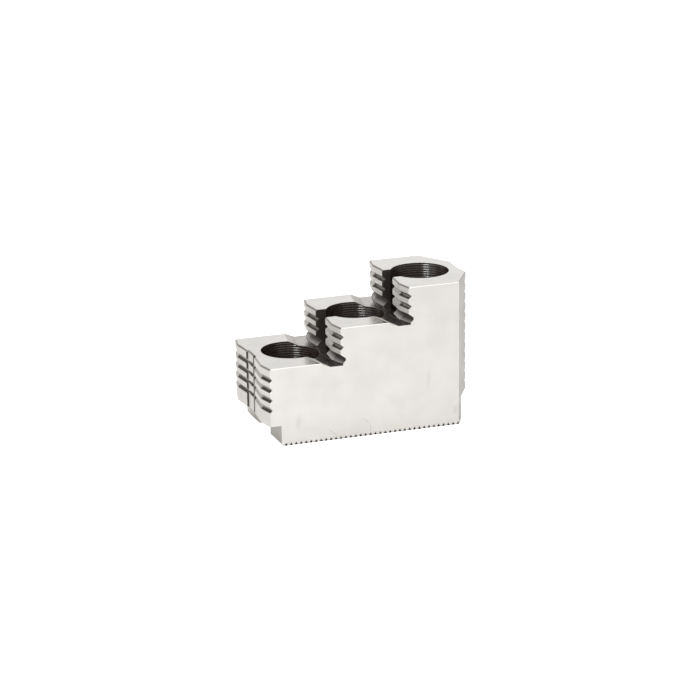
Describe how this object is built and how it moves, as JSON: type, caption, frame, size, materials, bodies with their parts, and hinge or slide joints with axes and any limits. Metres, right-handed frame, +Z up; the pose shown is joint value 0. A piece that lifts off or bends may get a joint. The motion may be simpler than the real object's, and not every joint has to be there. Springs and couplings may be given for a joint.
{
  "type": "hard chuck jaw",
  "caption": "Stepped hard top jaw for a power chuck, with grooved gripping faces, counterbored screw holes and a serrated base.",
  "frame": {"origin": "middle of the jaw, on the plane of the base serration's crests", "axes": "+X from the toe to the heel, +Y across the jaw, +Z up from the base to the treads"},
  "size_m": [0.0646, 0.0324, 0.0427],
  "materials": {
    "ground_steel": "hardened and ground, with dark bores and grooves"
  },
  "bodies": {
    "root": {"hard_jaw": "ground_steel"}
  },
  "joints": []
}
